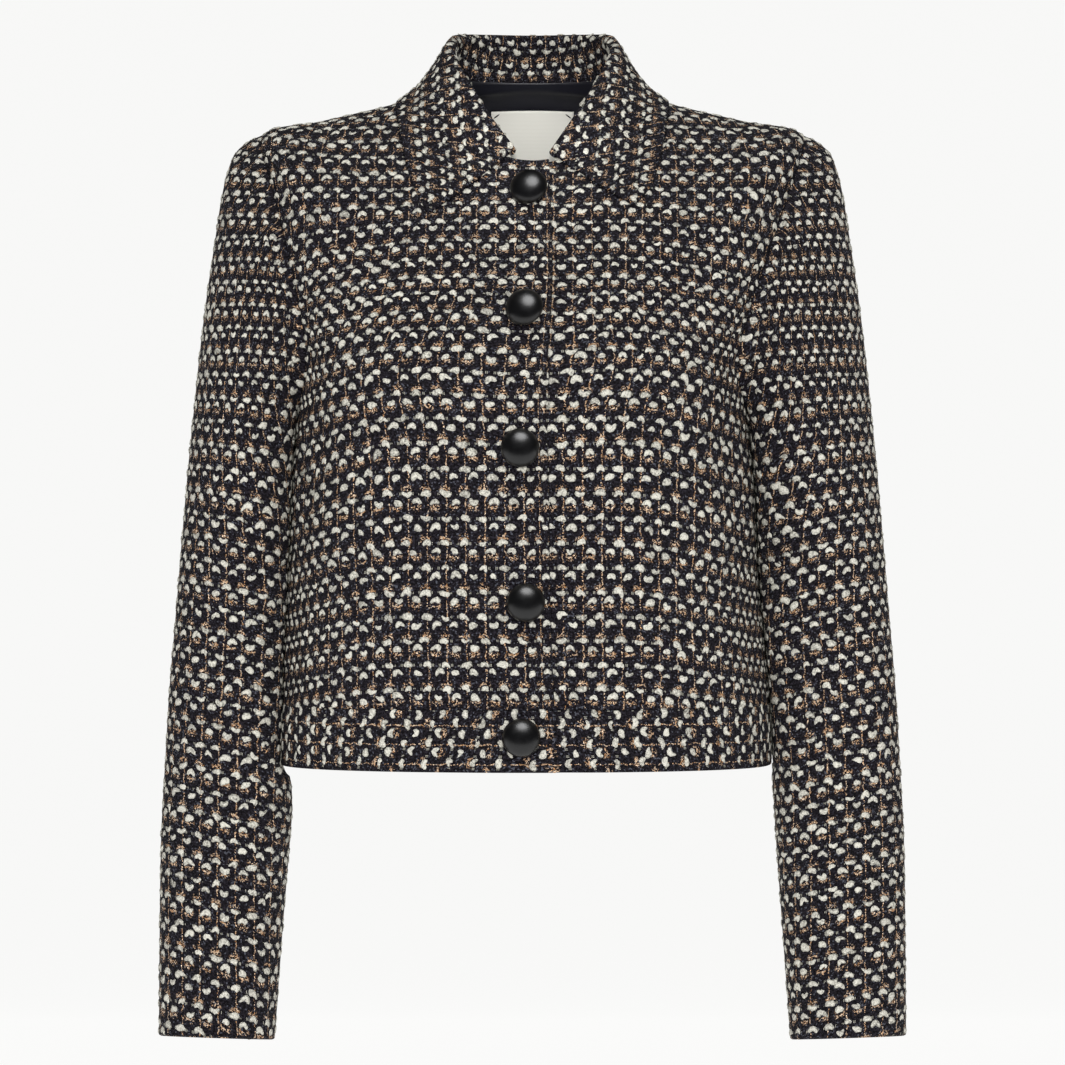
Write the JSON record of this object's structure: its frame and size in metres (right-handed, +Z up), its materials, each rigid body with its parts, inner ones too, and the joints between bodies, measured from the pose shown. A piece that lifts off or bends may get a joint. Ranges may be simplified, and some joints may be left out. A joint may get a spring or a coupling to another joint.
{
  "type": "cropped tweed jacket",
  "caption": "Cropped button-front jacket in dark navy boucle tweed with cream slubs and gold threads, pointed collar, waistband and domed black buttons, worn hollow form.",
  "frame": {"origin": "midway between the two points where the shoulder seams meet the neck, where the wearer's neck base carries the jacket", "axes": "+Z up, -Y the jacket's front, +X the wearer's left side"},
  "size_m": [0.5, 0.239, 0.6845],
  "materials": {
    "boucle_tweed": "matte boucle with cream slubs and gold threads",
    "dark_lining": "satin",
    "cream_label": "woven, bare",
    "black_button": "gloss"
  },
  "bodies": {
    "root": {"right_front": "boucle_tweed", "left_front": "boucle_tweed", "back": "boucle_tweed", "right_front_band": "boucle_tweed", "left_front_band": "boucle_tweed", "back_band": "boucle_tweed", "right_upper_sleeve": "boucle_tweed", "right_under_sleeve": "boucle_tweed", "left_upper_sleeve": "boucle_tweed", "left_under_sleeve": "boucle_tweed", "collar": "boucle_tweed", "neck_lining": "dark_lining", "label": "cream_label", "button_1": "black_button", "button_2": "black_button", "button_3": "black_button", "button_4": "black_button", "button_5": "black_button"}
  },
  "joints": []
}
